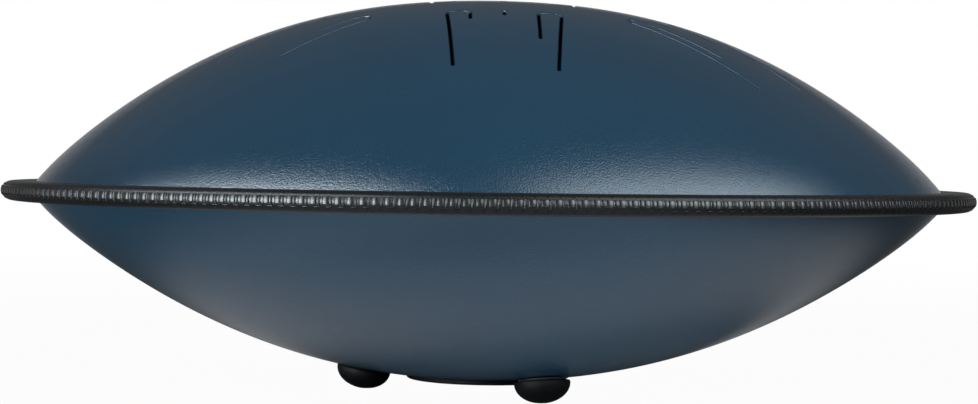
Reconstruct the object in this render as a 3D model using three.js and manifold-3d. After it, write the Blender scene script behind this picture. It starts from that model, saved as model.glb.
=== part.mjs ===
// Steel tongue drum: two pressed steel domes bonded at a flange, with tongues cut into the upper one.
// Millimetres, +Z up, origin on the floor under the middle of the drum, front tongue towards -Y.
import * as THREE from 'three';
import { mergeVertices } from 'three/addons/utils/BufferGeometryUtils.js';
import Module from 'manifold-3d';

const wasm = await Module();
wasm.setup();

// Clearances and facets
const GAP = 0.3; // between pieces that seat on each other
const ROUND_STEPS = 56; // facets round the drum
const DOME_STEPS = 11; // facets from crown to edge
const HOOK_ARC_STEPS = 8;
const TRIM_ARC_STEPS = 6;
const HOLE_STEPS = 28;
const EDGING_ARC_STEPS = 2;
const FOOT_STEPS = 20;
const FOOT_ARC_STEPS = 5;
const MERGE_TOLERANCE = 1e-4;
const SEARCH_STEPS = 60;

// Domes: height over the seam falls as a power of the radius, and faster over a shoulder at the edge
const SHEET = 1.5; // steel thickness of both domes
const DOME_RADIUS = 264.3; // where the outer surface would reach the seam
const TOP_RISE = 112;
const TOP_POWER = 2.364;
const TOP_SHOULDER = 0.043; // share of the rise that falls over the shoulder
const BOTTOM_RISE = 107.1;
const BOTTOM_POWER = 2.205;
const BOTTOM_SHOULDER = 0.049;
const SHOULDER_POWER = 24;
const FLANGE_WIDTH = 9.7; // flat ring outside the dome
const BOND = 0.6; // adhesive between the two flanges
const BOND_WIDTH = 5;

// Tongues: each is freed by two hooked slots, mirrored about its axis, and a short slit on the axis
const SLOT = 1.4; // width of the cut
const TONGUE_TURN = 0.5; // degrees from the front to the first tongue
const TONGUE_OFFSET = 6.3; // axis of a tongue to the middle of the drum
const TIP_HALF_WIDTH = 30.9; // outer leg of a slot to the axis of the widest tongue, at the hook
const ROOT_HALF_WIDTH = 26.9; // the same at the end of the leg
const LEG_LENGTH = 85; // longest outer leg, from the tip
const HOOK_WIDTH = 12.5; // outer leg to inner leg
const HOOK_LEG = 54; // longest inner leg, from the tip
const SLIT_LENGTH = 11;
const CENTRE_TIP = 60; // tip of the middle tongue, in front of the middle of the drum
const CENTRE_HALF_WIDTH = 40.5;
const CENTRE_LEG_LENGTH = 98;
const TIP_SPACE = 38; // tip of the middle tongue to the nearest tip of the others
const TIP_SETBACK = 16; // nearest tip of the others to the farthest
// Each tongue is cut to pitch: shares of the lengths above, legs and hooks left and right of its axis
const TONGUES = [
  { setback: 0.00, width: 1.00, legs: [0.95, 0.97], hooks: [0.36, 0.90] },
  { setback: 0.69, width: 0.88, legs: [0.99, 0.95], hooks: [1.00, 0.55] },
  { setback: 0.38, width: 0.94, legs: [0.94, 0.98], hooks: [0.61, 0.80] },
  { setback: 0.13, width: 1.00, legs: [0.92, 0.88], hooks: [0.78, 0.45] },
  { setback: 1.00, width: 0.90, legs: [0.87, 0.91], hooks: [0.48, 0.70] },
  { setback: 0.50, width: 0.91, legs: [0.93, 0.97], hooks: [0.66, 0.40] },
  { setback: 0.63, width: 0.92, legs: [0.82, 0.71], hooks: [0.83, 0.52] },
];
const CENTRE_TONGUE = { legs: [1.00, 0.96], hooks: [0.63, 0.48] };

// Edge trim: a soft U profile over the flange, stiffened by a thin steel clip inside it
const TRIM_CLEAR = 0.6; // lip to the flank of the dome
const TRIM_COVER = 0.5; // trim between the flange and the clip
const TRIM_SKIN = 1.55; // trim above and below the clip
const TRIM_EDGE = 3.9; // trim outside the clip
const TRIM_SEAM = 0.6; // butt joint of its two ends
const CLIP_SHEET = 0.7;
const CLIP_SETBACK = 3; // legs of the clip short of the lips

// Sound hole in the middle of the lower dome, with its rubber edging
const HOLE_RADIUS = 41;
const EDGING_LIP = 1.9; // rubber over and under the sheet
const EDGING_REACH = 6; // lips beyond the edge of the hole
const EDGING_WEB = 2.6; // rubber inside the hole
const EDGING_ROUND = 1.2; // its rounded edges

// Feet: domed rubber on adhesive pads, square to the shell, flat where they stand
const FOOT_COUNT = 3;
const FOOT_TURN = 25.6; // degrees from the front to the first foot
const FOOT_SPACE = 9.2; // edging of the sound hole to a foot
const FOOT_RADIUS = 15.8;
const FOOT_SKIRT = 1; // straight wall above the dome of the foot
const FOOT_FLAT = 0.4; // depth of the flat it stands on
const SEAT_HEIGHT = 13.7; // floor to the shell at the middle of a foot
const PAD_THICKNESS = 1;
const PAD_INSET = 2.3; // edge of the pad inside the foot's

const top = { rise: TOP_RISE, power: TOP_POWER, shoulder: TOP_SHOULDER };
const bottom = { rise: BOTTOM_RISE, power: BOTTOM_POWER, shoulder: BOTTOM_SHOULDER };
const TIP_RADIUS = CENTRE_TIP + TIP_SPACE;
const STACK_HALF = BOND / 2 + GAP + SHEET; // seam to the outside of a flange
const CHANNEL_HALF = STACK_HALF + GAP; // seam to the inside of a trim lip
const CLIP_DEPTH = TRIM_COVER + GAP; // channel to the clip
const CLIP_POCKET = CLIP_DEPTH + CLIP_SHEET + GAP; // channel to the far side of the clip's pocket
const TRIM_HALF = CHANNEL_HALF + CLIP_POCKET + TRIM_SKIN;
const FLANGE_RADIUS = DOME_RADIUS + FLANGE_WIDTH;
const CHANNEL_RADIUS = FLANGE_RADIUS + GAP;
const TRIM_RADIUS = CHANNEL_RADIUS + CLIP_POCKET + TRIM_EDGE;
const FOOT_CIRCLE = HOLE_RADIUS + EDGING_REACH + FOOT_SPACE + FOOT_RADIUS;
const RIM_HEIGHT = SEAT_HEIGHT + domeHeight(bottom, FOOT_CIRCLE); // floor to the seam

const shellPaint = new THREE.MeshStandardMaterial({ color: 0x2c4252, roughness: 0.5, metalness: 0.3 });
const trimPlastic = new THREE.MeshStandardMaterial({ color: 0x2b2d30, roughness: 0.45, metalness: 0 });
const footRubber = new THREE.MeshStandardMaterial({ color: 0x0c0d0e, roughness: 0.8, metalness: 0 });
const clipSteel = new THREE.MeshStandardMaterial({ color: 0x9a9da0, roughness: 0.4, metalness: 1 });
const adhesive = new THREE.MeshStandardMaterial({ color: 0x3a3a38, roughness: 0.9, metalness: 0 });

// Dome surface
function domeHeight(dome, radius) {
  const share = radius / DOME_RADIUS;
  return dome.rise * (1 - (1 - dome.shoulder) * share ** dome.power - dome.shoulder * share ** SHOULDER_POWER);
}

function domeSlope(dome, radius) {
  const share = radius / DOME_RADIUS;
  const flank = (1 - dome.shoulder) * dome.power * share ** (dome.power - 1);
  const shoulder = dome.shoulder * SHOULDER_POWER * share ** (SHOULDER_POWER - 1);
  return dome.rise / DOME_RADIUS * (flank + shoulder);
}

// Largest radius on the dome up to which a test holds
function lastRadius(test) {
  let low = 0;
  let high = DOME_RADIUS;
  for (let step = 0; step < SEARCH_STEPS; step += 1) {
    const middle = (low + high) / 2;
    if (test(middle)) low = middle;
    else high = middle;
  }
  return low;
}

function domeRadiusAt(dome, height) {
  return lastRadius((radius) => domeHeight(dome, radius) > height);
}

function domeRadiusOfSlope(dome, slope) {
  return lastRadius((radius) => domeSlope(dome, radius) < slope);
}

// Point of the dome, moved inwards square to its surface
function domePoint(dome, radius, depth) {
  const slope = domeSlope(dome, radius);
  const length = Math.hypot(1, slope);
  return new THREE.Vector2(radius - depth * slope / length, domeHeight(dome, radius) - depth / length);
}

// Radii from start to end at even steps of the surface's angle
function domeStations(dome, start, end) {
  const first = Math.atan(domeSlope(dome, start));
  const last = Math.atan(domeSlope(dome, end));
  const stations = [];
  for (let step = 0; step <= DOME_STEPS; step += 1) {
    const angle = first + (last - first) * step / DOME_STEPS;
    stations.push(domeRadiusOfSlope(dome, Math.tan(angle)));
  }
  return stations;
}

// Radius at which the inner surface of a dome reaches a height
function innerRadiusAt(dome, height) {
  return lastRadius((radius) => domePoint(dome, radius, SHEET).y > height);
}

// Solids
function closedSolid(geometry) {
  geometry.deleteAttribute('normal');
  geometry.deleteAttribute('uv');
  const merged = mergeVertices(geometry, MERGE_TOLERANCE);
  const positions = merged.getAttribute('position').array;
  const triangles = [];
  for (let start = 0; start < merged.index.count; start += 3) {
    const [a, b, c] = merged.index.array.slice(start, start + 3);
    if (a !== b && b !== c && c !== a) triangles.push([a, b, c]);
  }
  const corner = (index) => new THREE.Vector3().fromArray(positions, 3 * index);
  let volume = 0;
  for (const [a, b, c] of triangles) volume += corner(a).dot(corner(b).cross(corner(c)));
  const outward = volume > 0 ? triangles : triangles.map(([a, b, c]) => [a, c, b]);
  return new wasm.Manifold(new wasm.Mesh({
    numProp: 3,
    vertProperties: Float32Array.from(positions),
    triVerts: Uint32Array.from(outward.flat()),
  }));
}

function revolve(profile, steps) {
  return new THREE.LatheGeometry(profile, steps).rotateX(Math.PI / 2);
}

function ring(profile, steps) {
  return revolve([...profile, profile[0]], steps);
}

function pieceMesh(name, solid, material) {
  const { vertProperties, triVerts } = solid.getMesh();
  const geometry = new THREE.BufferGeometry();
  geometry.setAttribute('position', new THREE.BufferAttribute(vertProperties, 3));
  geometry.setIndex(new THREE.BufferAttribute(triVerts, 1));
  geometry.computeVertexNormals();
  const mesh = new THREE.Mesh(geometry, material);
  mesh.name = name;
  return mesh;
}

// Direction in plan, in degrees from the front towards +X
function bearing(degrees) {
  const angle = THREE.MathUtils.degToRad(degrees);
  return new THREE.Vector2(Math.sin(angle), -Math.cos(angle));
}

// Outline of a slot of constant width with round ends along a centre line
function slotShape(line) {
  const left = [];
  const right = [];
  const half = SLOT / 2;
  line.forEach((point, index) => {
    const before = line[Math.max(index - 1, 0)];
    const after = line[Math.min(index + 1, line.length - 1)];
    const along = after.clone().sub(before).normalize();
    const across = new THREE.Vector2(-along.y, along.x).multiplyScalar(half);
    left.push(point.clone().add(across));
    right.push(point.clone().sub(across));
  });
  const cap = (end, inner) => {
    const along = end.clone().sub(inner).setLength(half);
    const across = new THREE.Vector2(-along.y, along.x);
    const corner = along.clone().add(across).multiplyScalar(Math.SQRT1_2);
    const mirrored = along.clone().sub(across).multiplyScalar(Math.SQRT1_2);
    return [corner, along, mirrored].map((offset) => end.clone().add(offset));
  };
  const last = line.length - 1;
  const endCap = cap(line[last], line[last - 1]);
  const startCap = cap(line[0], line[1]);
  return new THREE.Shape([...left, ...endCap, ...right.reverse(), ...startCap]);
}

// Centre line of one hooked slot: outer leg, round hook, inner leg. Side is -1 or +1 across the axis.
function hookLine(tongue, side, legShare, hookShare) {
  const radius = HOOK_WIDTH / 2;
  const line = [[tongue.rootHalfWidth, tongue.tip + legShare * tongue.legLength]];
  for (let step = 0; step <= HOOK_ARC_STEPS; step += 1) {
    const angle = Math.PI * step / HOOK_ARC_STEPS;
    const across = tongue.tipHalfWidth - radius + radius * Math.cos(angle);
    line.push([across, tongue.tip + radius - radius * Math.sin(angle)]);
  }
  line.push([tongue.tipHalfWidth - HOOK_WIDTH, tongue.tip + hookShare * HOOK_LEG]);
  return line.map(([across, along]) => new THREE.Vector2(side * across, -along));
}

// The slots of one tongue, drawn along -Y beside the middle of the drum and turned about it to its bearing
function tongueSlots(tongue) {
  const [leftLeg, rightLeg] = tongue.legs;
  const [leftHook, rightHook] = tongue.hooks;
  const slit = [tongue.tip, tongue.tip + SLIT_LENGTH].map((along) => new THREE.Vector2(0, -along));
  const lines = [
    hookLine(tongue, -1, leftLeg, leftHook),
    hookLine(tongue, 1, rightLeg, rightHook),
    slit,
  ];
  const middle = new THREE.Vector2();
  const beside = new THREE.Vector2(tongue.offset, 0);
  const angle = THREE.MathUtils.degToRad(tongue.turn);
  return lines.map((line) => line.map((point) => point.add(beside).rotateAround(middle, angle)));
}

function slotCutter(line) {
  const depth = TOP_RISE + SHEET;
  return closedSolid(new THREE.ExtrudeGeometry(slotShape(line), { depth, bevelEnabled: false })
    .translate(0, 0, STACK_HALF));
}

// Dome with its flange, as a profile in radius and height over the seam
function shellProfile(dome, innerEdge) {
  const flangeBack = STACK_HALF - SHEET;
  const outerEnd = domeRadiusAt(dome, STACK_HALF);
  const innerEnd = innerRadiusAt(dome, flangeBack);
  const outer = domeStations(dome, innerEdge, outerEnd).map((radius) => domePoint(dome, radius, 0));
  const inner = domeStations(dome, innerEdge, innerEnd).map((radius) => domePoint(dome, radius, SHEET));
  inner[0].x = innerEdge;
  const flange = [
    new THREE.Vector2(FLANGE_RADIUS, STACK_HALF),
    new THREE.Vector2(FLANGE_RADIUS, flangeBack),
  ];
  return [...outer, ...flange, ...inner.reverse()];
}

function topShell() {
  const tongues = TONGUES.map((tongue, index) => ({
    ...tongue,
    turn: TONGUE_TURN + 360 * index / TONGUES.length,
    offset: TONGUE_OFFSET,
    tip: TIP_RADIUS + tongue.setback * TIP_SETBACK,
    legLength: LEG_LENGTH,
    tipHalfWidth: tongue.width * TIP_HALF_WIDTH,
    rootHalfWidth: tongue.width * ROOT_HALF_WIDTH,
  }));
  // The middle tongue points backwards on the axis of the front one
  tongues.push({
    ...CENTRE_TONGUE,
    turn: TONGUE_TURN + 180,
    offset: -TONGUE_OFFSET,
    tip: -CENTRE_TIP,
    legLength: CENTRE_LEG_LENGTH,
    tipHalfWidth: CENTRE_HALF_WIDTH,
    rootHalfWidth: CENTRE_HALF_WIDTH,
  });
  let shell = closedSolid(revolve(shellProfile(top, 0), ROUND_STEPS));
  for (const line of tongues.flatMap(tongueSlots)) shell = shell.subtract(slotCutter(line));
  return shell.translate(0, 0, RIM_HEIGHT);
}

function mirrorDown(profile) {
  return profile.map((point) => new THREE.Vector2(point.x, -point.y));
}

function bottomShell() {
  const profile = mirrorDown(shellProfile(bottom, HOLE_RADIUS));
  return closedSolid(ring(profile, ROUND_STEPS)).translate(0, 0, RIM_HEIGHT);
}

function flangeBond() {
  const outer = FLANGE_RADIUS - GAP;
  const inner = outer - BOND_WIDTH;
  const profile = [[inner, -1], [outer, -1], [outer, 1], [inner, 1]]
    .map(([radius, side]) => new THREE.Vector2(radius, side * BOND / 2));
  return closedSolid(ring(profile, ROUND_STEPS)).translate(0, 0, RIM_HEIGHT);
}

// Thin block across the back of the rim, where the ends of the trim and of its clip meet
function seamBlock() {
  const depth = 2 * TRIM_RADIUS;
  const block = new THREE.BoxGeometry(TRIM_SEAM, depth, 4 * TRIM_HALF).translate(0, depth / 2, 0);
  return closedSolid(block);
}

// Where a trim lip starts, just outside the flank of a dome
function lipStart(dome, height) {
  return domeRadiusAt(dome, height) + TRIM_CLEAR;
}

function clipProfile(clearance) {
  const innerHalf = CHANNEL_HALF + CLIP_DEPTH;
  const innerRadius = CHANNEL_RADIUS + CLIP_DEPTH;
  const lip = Math.max(lipStart(top, CHANNEL_HALF), lipStart(bottom, CHANNEL_HALF));
  const legStart = lip + CLIP_SETBACK - clearance;
  const inside = innerHalf - clearance;
  const outside = innerHalf + CLIP_SHEET + clearance;
  const webInside = innerRadius - clearance;
  const webOutside = innerRadius + CLIP_SHEET + clearance;
  return [
    [legStart, inside], [legStart, outside], [webOutside, outside], [webOutside, -outside],
    [legStart, -outside], [legStart, -inside], [webInside, -inside], [webInside, inside],
  ].map(([radius, height]) => new THREE.Vector2(radius, height));
}

function trimProfile() {
  const arcCentre = TRIM_RADIUS - TRIM_HALF;
  const points = [
    [lipStart(top, CHANNEL_HALF), CHANNEL_HALF],
    [lipStart(top, TRIM_HALF), TRIM_HALF],
  ];
  for (let step = 0; step <= TRIM_ARC_STEPS; step += 1) {
    const angle = Math.PI * (0.5 - step / TRIM_ARC_STEPS);
    points.push([arcCentre + TRIM_HALF * Math.cos(angle), TRIM_HALF * Math.sin(angle)]);
  }
  points.push(
    [lipStart(bottom, TRIM_HALF), -TRIM_HALF],
    [lipStart(bottom, CHANNEL_HALF), -CHANNEL_HALF],
    [CHANNEL_RADIUS, -CHANNEL_HALF],
    [CHANNEL_RADIUS, CHANNEL_HALF],
  );
  return points.map(([radius, height]) => new THREE.Vector2(radius, height));
}

function rimTrim() {
  return closedSolid(ring(trimProfile(), ROUND_STEPS))
    .subtract(closedSolid(ring(clipProfile(GAP), ROUND_STEPS)))
    .subtract(seamBlock())
    .translate(0, 0, RIM_HEIGHT);
}

function rimClip() {
  return closedSolid(ring(clipProfile(0), ROUND_STEPS)).subtract(seamBlock()).translate(0, 0, RIM_HEIGHT);
}

// Rubber edging that grips the sheet round the sound hole, with rounded lips
function holeEdging() {
  const reach = HOLE_RADIUS + EDGING_REACH;
  const outerFace = (radius) => domeHeight(bottom, radius) + GAP;
  const innerFace = (radius) => domeHeight(bottom, radius) - SHEET * Math.hypot(1, domeSlope(bottom, radius)) - GAP;
  const channel = HOLE_RADIUS - GAP;
  const bore = channel - EDGING_WEB;
  const quarter = (centreRadius, centreHeight, startAngle) => {
    const points = [];
    for (let step = 0; step <= EDGING_ARC_STEPS; step += 1) {
      const angle = startAngle + Math.PI / 2 * step / EDGING_ARC_STEPS;
      points.push(new THREE.Vector2(
        centreRadius + EDGING_ROUND * Math.cos(angle),
        centreHeight + EDGING_ROUND * Math.sin(angle),
      ));
    }
    return points;
  };
  const low = outerFace(HOLE_RADIUS) + EDGING_LIP - EDGING_ROUND;
  const high = innerFace(HOLE_RADIUS) - EDGING_LIP + EDGING_ROUND;
  const profile = [
    new THREE.Vector2(channel, innerFace(HOLE_RADIUS)),
    new THREE.Vector2(channel, outerFace(HOLE_RADIUS)),
    new THREE.Vector2(reach, outerFace(reach)),
    ...quarter(reach - EDGING_ROUND, low, 0),
    ...quarter(bore + EDGING_ROUND, low, Math.PI / 2),
    ...quarter(bore + EDGING_ROUND, high, Math.PI),
    ...quarter(reach - EDGING_ROUND, high, 1.5 * Math.PI),
    new THREE.Vector2(reach, innerFace(reach)),
  ];
  return closedSolid(ring(mirrorDown(profile), HOLE_STEPS)).translate(0, 0, RIM_HEIGHT);
}

// Places a piece on the lower dome, its +Z square to the surface and outwards
function onLowerDome(geometry, degrees) {
  const direction = bearing(degrees);
  const slope = domeSlope(bottom, FOOT_CIRCLE);
  const normal = new THREE.Vector3(direction.x * slope, direction.y * slope, -1).normalize();
  const turn = new THREE.Quaternion().setFromUnitVectors(new THREE.Vector3(0, 0, 1), normal);
  const seat = new THREE.Vector3(
    direction.x * FOOT_CIRCLE,
    direction.y * FOOT_CIRCLE,
    RIM_HEIGHT - domeHeight(bottom, FOOT_CIRCLE),
  );
  return geometry.applyQuaternion(turn).translate(seat.x, seat.y, seat.z);
}

function footPad(degrees) {
  const padRadius = FOOT_RADIUS - PAD_INSET;
  const disc = new THREE.CylinderGeometry(padRadius, padRadius, PAD_THICKNESS, FOOT_STEPS)
    .rotateX(Math.PI / 2)
    .translate(0, 0, GAP + PAD_THICKNESS / 2);
  return closedSolid(onLowerDome(disc, degrees));
}

// Depth of a foot's dome that brings its lowest point just below the floor, on the tilted seat
function footDepth(middle) {
  const tilt = Math.atan(domeSlope(bottom, FOOT_CIRCLE));
  const middleHeight = RIM_HEIGHT - domeHeight(bottom, FOOT_CIRCLE) - middle * Math.cos(tilt);
  const drop = middleHeight + FOOT_FLAT;
  return Math.sqrt(drop ** 2 - (FOOT_RADIUS * Math.sin(tilt)) ** 2) / Math.cos(tilt);
}

function foot(degrees) {
  const base = GAP + PAD_THICKNESS + GAP;
  const middle = base + FOOT_SKIRT;
  const depth = footDepth(middle);
  const profile = [new THREE.Vector2(0, base), new THREE.Vector2(FOOT_RADIUS, base)];
  for (let step = 0; step <= FOOT_ARC_STEPS; step += 1) {
    const angle = Math.PI / 2 * step / FOOT_ARC_STEPS;
    const radius = step === FOOT_ARC_STEPS ? 0 : FOOT_RADIUS * Math.cos(angle);
    profile.push(new THREE.Vector2(radius, middle + depth * Math.sin(angle)));
  }
  const body = closedSolid(onLowerDome(revolve(profile, FOOT_STEPS), degrees));
  const floorDepth = 2 * FOOT_RADIUS;
  const width = 4 * (FOOT_CIRCLE + FOOT_RADIUS);
  const floor = closedSolid(new THREE.BoxGeometry(width, width, floorDepth).translate(0, 0, -floorDepth / 2));
  return body.subtract(floor);
}

const drum = new THREE.Group();
drum.add(
  pieceMesh('top_shell', topShell(), shellPaint),
  pieceMesh('bottom_shell', bottomShell(), shellPaint),
  pieceMesh('flange_bond', flangeBond(), adhesive),
  pieceMesh('rim_trim', rimTrim(), trimPlastic),
  pieceMesh('rim_trim_clip', rimClip(), clipSteel),
  pieceMesh('sound_hole_edging', holeEdging(), footRubber),
);
for (let index = 0; index < FOOT_COUNT; index += 1) {
  const degrees = FOOT_TURN + 360 * index / FOOT_COUNT;
  drum.add(pieceMesh(`foot_${index + 1}`, foot(degrees), footRubber));
  drum.add(pieceMesh(`foot_pad_${index + 1}`, footPad(degrees), adhesive));
}

export default drum;
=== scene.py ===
"""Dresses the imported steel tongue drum: one operator for each piece or group, and one for the stage.

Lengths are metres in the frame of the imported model: +Z up, -Y towards the front tongue and the camera.
"""

import math

import bpy
import numpy as np
from bpy.props import FloatProperty, FloatVectorProperty, IntProperty, PointerProperty
from mathutils import Matrix, Vector
from mathutils.geometry import delaunay_2d_cdt


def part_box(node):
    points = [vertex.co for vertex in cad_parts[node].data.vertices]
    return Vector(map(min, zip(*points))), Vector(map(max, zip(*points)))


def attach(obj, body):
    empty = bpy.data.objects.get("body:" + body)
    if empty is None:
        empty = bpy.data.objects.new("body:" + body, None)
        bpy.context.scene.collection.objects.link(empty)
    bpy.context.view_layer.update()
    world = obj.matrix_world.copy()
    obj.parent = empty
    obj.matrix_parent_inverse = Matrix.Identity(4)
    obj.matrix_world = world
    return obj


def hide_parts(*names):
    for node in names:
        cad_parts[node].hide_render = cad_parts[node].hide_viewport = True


bl_info = {
    "name": "Steel Tongue Drum",
    "version": (1, 0, 0),
    "blender": (4, 5, 0),
    "location": "View3D > Sidebar > Drum",
    "description": "Builds a painted steel tongue drum around its packed CAD model",
    "category": "Object",
}

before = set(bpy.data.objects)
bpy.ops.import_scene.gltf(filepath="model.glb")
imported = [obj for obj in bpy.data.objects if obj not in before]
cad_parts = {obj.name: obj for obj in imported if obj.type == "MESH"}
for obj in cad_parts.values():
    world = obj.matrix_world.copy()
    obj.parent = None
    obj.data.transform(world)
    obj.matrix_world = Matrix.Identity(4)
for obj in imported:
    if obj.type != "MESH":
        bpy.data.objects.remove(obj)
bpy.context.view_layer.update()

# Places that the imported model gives
TRIM_LOW, TRIM_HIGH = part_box("rim_trim")
RIM_HEIGHT = (TRIM_LOW.z + TRIM_HIGH.z) / 2
TRIM_RADIUS = min(TRIM_HIGH.x, TRIM_HIGH.y)
TRIM_HALF = (TRIM_HIGH.z - TRIM_LOW.z) / 2
TOP_LOW, TOP_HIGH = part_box("top_shell")
TOP_RISE = TOP_HIGH.z - RIM_HEIGHT
FLANGE_RADIUS = TOP_HIGH.x
FLANGE_BACK = TOP_LOW.z - RIM_HEIGHT

# Tuned sizes of the tongues: setback of the tip, width, legs and hooks left and right of the axis as
# shares of the largest, and the rounding of their slots' edges as a share of the usual one
TONGUES = (
    (0.00, 1.00, (0.95, 0.97), (0.36, 0.90), 1.1),
    (0.69, 0.88, (0.99, 0.95), (1.00, 0.55), 1.6),
    (0.38, 0.94, (0.94, 0.98), (0.61, 0.80), 1.0),
    (0.13, 1.00, (0.92, 0.88), (0.78, 0.45), 1.0),
    (1.00, 0.90, (0.87, 0.91), (0.48, 0.70), 1.0),
    (0.50, 0.91, (0.93, 0.97), (0.66, 0.40), 1.0),
    (0.63, 0.92, (0.82, 0.71), (0.83, 0.52), 0.3),
)
CENTRE_LEGS = (1.00, 0.96)
CENTRE_HOOKS = (0.63, 0.48)

# Facets
EDGE_STEPS = 320  # round the upper shell
FILL_STEP = 0.005  # between points of the upper shell
LEG_STEP = 0.004  # along the legs of a slot
HOOK_STEPS = 18
CAP_STEPS = 8
BOWL_SEGMENTS = 288
BOWL_RINGS = 96
FLANGE_RINGS = 2
TRIM_STEPS = 576
TRIM_ARC_STEPS = 30
EDGING_STEPS = 128
CORNER_STEPS = 8
FOOT_STEPS = 64
FOOT_ARC_STEPS = 24
SHARP_ANGLE = math.radians(35)
DOME_SAMPLES = 4000

# Small edges and tolerances
BACK_EDGE = 0.0003  # rounding of the slots' inner edges and of the upper flange
BLOCK_ROUND = 0.00045  # how far the flanks of the embossing slope
BLOCK_BEVEL = 0.6  # share of a block's height that its rounded edge takes
BLOCK_SUNK = 0.4  # share of the relief that a block reaches into the trim
BLOCK_INSET = 0.45  # most of a block's length that one flank may take
FOOT_LIP = 0.6  # share of a foot's skirt that its rounded edge takes
MERGE_DISTANCE = 1e-6  # of points that a node tree makes one
CUT_TOLERANCE = 1e-7  # of the triangles in plan
WHOLE_HULL = 0  # asks for triangles over all of the plan, slots too

# Embossed blocks of one repeat, as start and end in shares of the pitch, low and high in degrees up the
# round face, rows of points and share of the relief: a pad, a rib, its foot, a dash above and one below
BLOCKS = (
    (-0.42, 0.12, -12, 28, 4, 1.0),
    (0.22, 0.38, -24, 30, 4, 1.0),
    (-0.10, 0.36, -33, -25, 2, 0.4),
    (-0.05, 0.28, 40, 50, 2, 0.4),
    (-0.05, 0.28, -52, -44, 2, 0.3),
)

# Finishes
NOISE_RANGE = (0.3, 0.7)  # where most values of a noise lie
GRAIN_SHARE = 0.55  # of the paint's shade, where clouds make up the rest
PEEL_GRAINS = 3  # size of the paint's orange peel, in grains
FLANK_LEVEL = 0.5  # how far the middle of a block's flank is raised
WHITE = (1.0, 1.0, 1.0)

# Node trees
NODE_SPACING = 200
MIX_FIRST, MIX_SECOND, MIX_RESULT = 6, 7, 2  # colour sockets of a mix node, which share their names

# Floor, backdrop and camera
CAMERA_REACH = 100
FLOOR_RADIUS = 7.0
COVE_RADIUS = 1.0
WALL_HEIGHT = 1.4
FLOOR_DROP = 0.0002  # keeps the floor clear of the feet's flats
STAGE_STEPS = 96
COVE_STEPS = 16
FLOOR_WHITE = 0.5
FLOOR_SIDE_SHADE = 0.08  # painted shade: the floor beside the drum is darker, on both sides
SIDE_SHADE_START, SIDE_SHADE_END = 0.1, 0.3  # where the painted side shade begins beside the middle, and covers the floor fully
NEAR_GLOW = 0.97  # how white the camera sees the floor under the drum, so that its shadow stays
NEAR_RADIUS, FAR_RADIUS = 0.6, 2.0  # where the floor begins to turn plain white, and has done so
MIRROR_FAR = 0.34  # how white the drum mirrors the far floor and backdrop
PAINTED_REFLECTION_GLOW = 0.25  # painted reflection: how bright a ring of floor round its shadow glows, for reflections only
PAINTED_REFLECTION_RING = (0.11, 0.18, 0.20, 0.29)  # where that glowing ring starts, is full, fades and ends
MIRROR_SCALE = (0.94, 1.0, 1.0)  # below 1 makes the ring longer that way
MIRROR_SHIFT = (-0.038, -0.02, 0.0)  # the ring lies as far the other way
MIRROR_COLOUR = (0.96, 0.93, 0.94)

# Lamps, as the setting of their power, place, turn and tilt in degrees, size, and which surfaces show them
LAMP_COLOUR = (0.85, 0.95, 1.0)
CARD_SPREAD = math.radians(60)
SOFTBOXES = (
    ("left_power", (-0.952, -0.235, 1.103), -37, 40, (1.55, 0.26), "all"),
    ("rim_left_power", (-0.458, -0.474, 0.19), -50, 85, (0.44, 0.36), "gloss"),
    ("rim_right_power", (0.38, -0.54, 0.30), 43, 65, (0.6, 0.36), "gloss"),
    ("right_power", (0.78, -0.28, 1.165), 35, 30, (1.34, 0.48), "all"),
    ("fill_power", (0.45, -1.5, 0.6), 16, 72, (2.4, 1.0), "matt"),
    ("floor_left_power", (-0.55, -0.36, 0.001), 0, 180, (0.5, 0.6), "matt"),
    ("floor_power", (-0.05, -0.36, 0.001), 0, 180, (0.5, 0.6), "matt"),
)


def length_prop(name, description, default):
    """A length in metres."""
    return FloatProperty(name=name, description=description, default=default, unit="LENGTH")


def number_prop(name, description, default, unit="NONE"):
    """A plain number, or one in another unit."""
    return FloatProperty(name=name, description=description, default=default, unit=unit)


def angle_prop(name, description, degrees):
    """An angle, given in degrees."""
    default = math.radians(degrees)
    return FloatProperty(name=name, description=description, default=default, subtype="ANGLE")


def count_prop(name, description, default, least):
    """A whole number that is never below the least."""
    return IntProperty(name=name, description=description, default=default, min=least)


def colour_prop(name, description, default):
    """A linear colour."""
    return FloatVectorProperty(
        name=name, description=description, default=default, subtype="COLOR", size=len(default)
    )


def group_prop(name, description, group):
    """A group of settings."""
    return PointerProperty(name=name, description=description, type=group)


class DrumShellSettings(bpy.types.PropertyGroup):
    """Sizes of the two pressed domes."""

    sheet: length_prop("Sheet", "Thickness of the steel", 0.0015)
    radius: length_prop("Dome Radius", "Where a dome would reach the seam", 0.2643)
    shoulder_power: number_prop("Shoulder Curve", "Power of the fall at the edge", 24.0)
    top_power: number_prop("Upper Curve", "Power of the upper dome's curve", 2.364)
    top_shoulder: number_prop("Upper Shoulder", "Share of the upper rise that falls at the edge", 0.043)
    bottom_rise: length_prop("Lower Rise", "Height of the lower dome", 0.1071)
    bottom_power: number_prop("Lower Curve", "Power of the lower dome's curve", 2.205)
    bottom_shoulder: number_prop("Lower Shoulder", "Share of the lower rise that falls at the edge", 0.049)
    hole_radius: length_prop("Sound Hole", "Radius of the hole in the lower dome", 0.041)


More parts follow.
